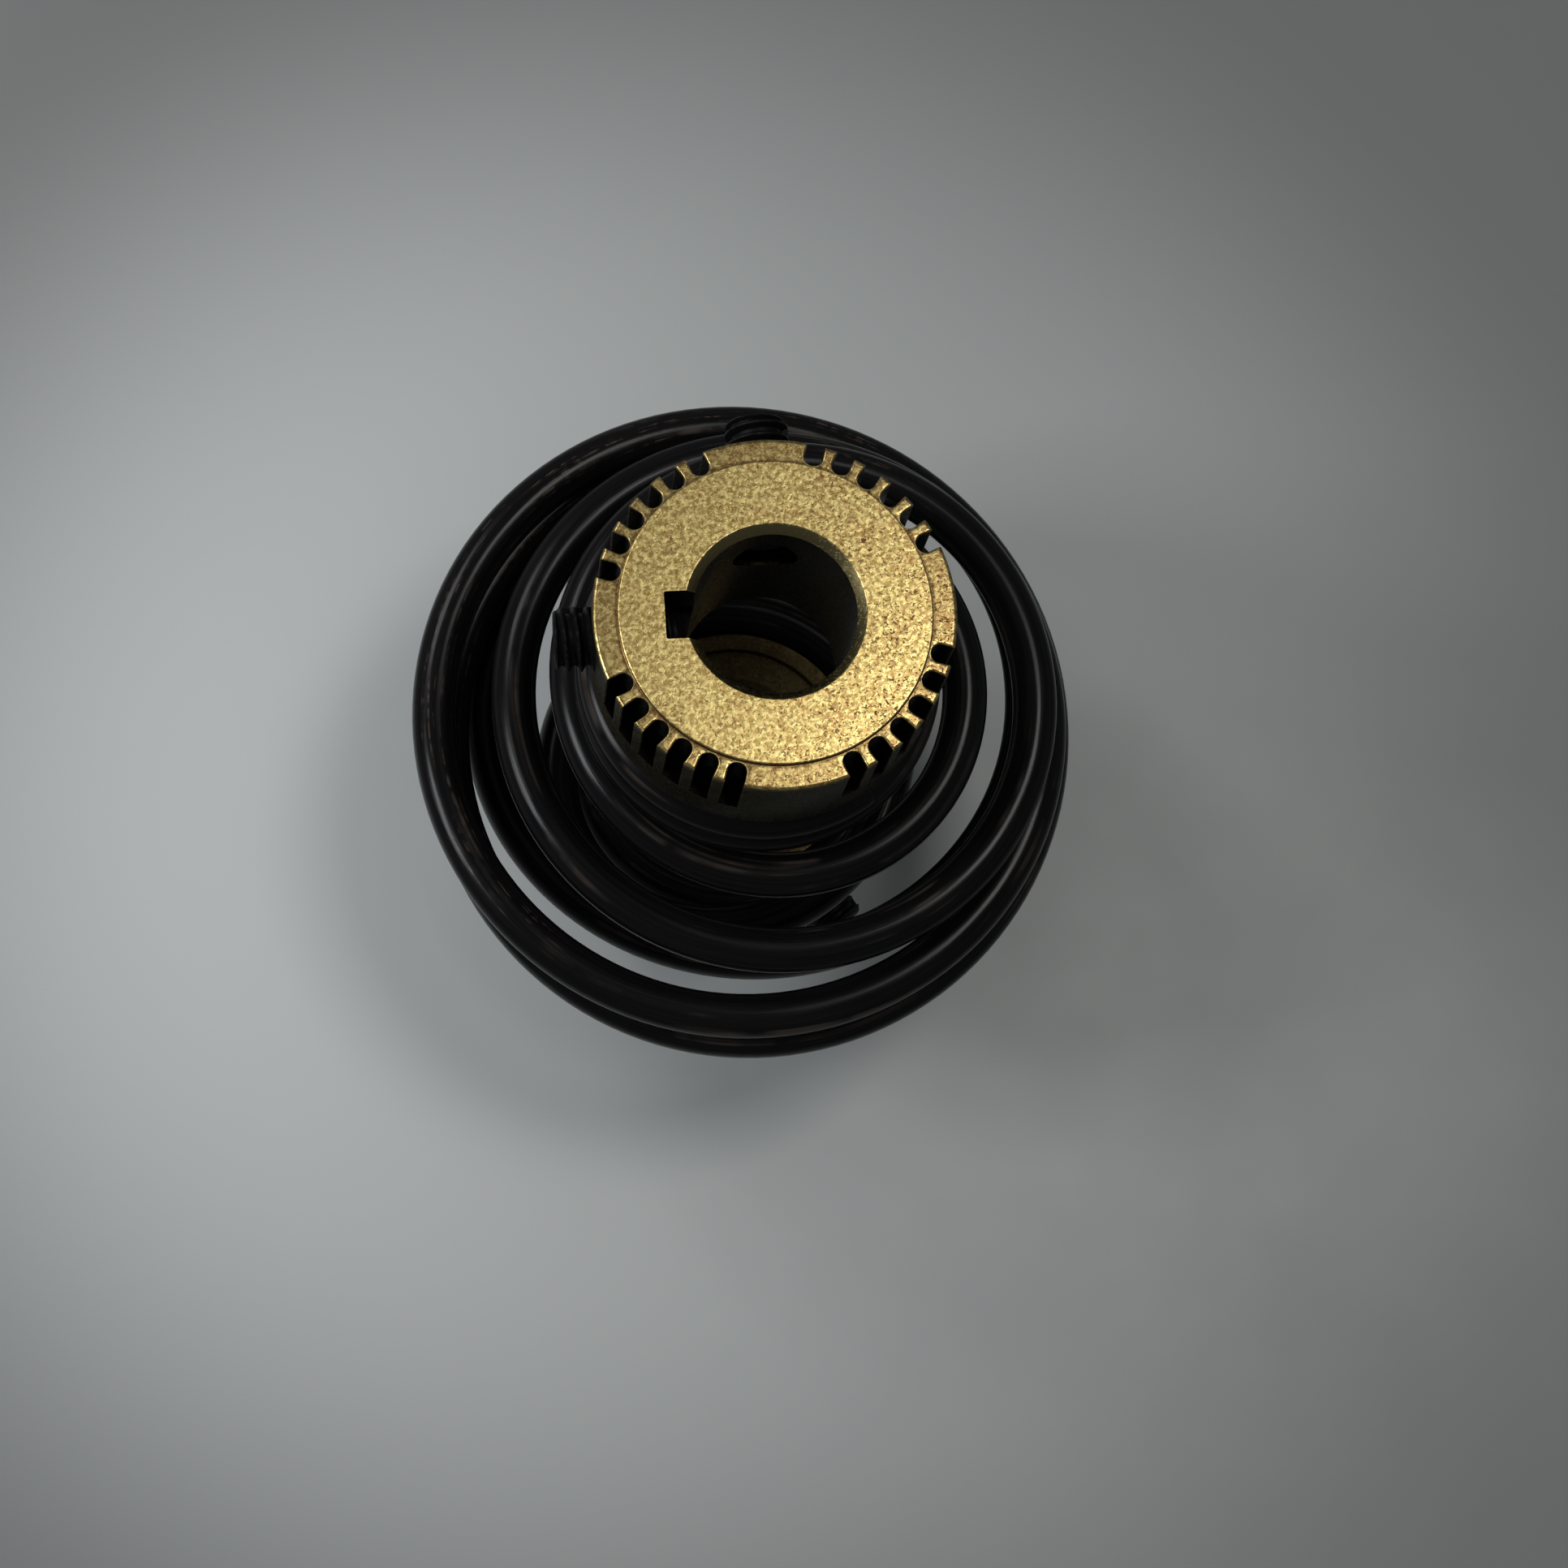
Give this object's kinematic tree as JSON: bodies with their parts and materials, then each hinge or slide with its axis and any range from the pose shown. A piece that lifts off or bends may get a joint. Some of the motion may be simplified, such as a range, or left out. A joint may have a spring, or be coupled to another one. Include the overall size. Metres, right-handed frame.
{
  "type": "flexible spring shaft coupling",
  "caption": "Flexible coupling for a circulator pump: toothed hubs with keyed bores, joined by a barrel coil spring and held to their shafts by set screws.",
  "frame": {"origin": "centre of the rear hub's end face, on the shaft axis", "axes": "+Z along the shaft axis from the rear hub to the front hub; +Y toward the front hub's plain set screw; the front hub's keyway is on -X"},
  "size_m": [0.0715, 0.0729, 0.0762],
  "materials": {
    "hub_metal": "sintered, satin, finely pitted",
    "spring_steel": "black oil-tempered wire with draw lines",
    "screw_steel": "black oxide"
  },
  "bodies": {
    "root": {"front_hub": "hub_metal", "rear_hub": "hub_metal", "spring": "spring_steel", "front_key_screw": "screw_steel", "front_plain_screw": "screw_steel", "rear_key_screw": "screw_steel", "rear_plain_screw": "screw_steel"}
  },
  "joints": []
}
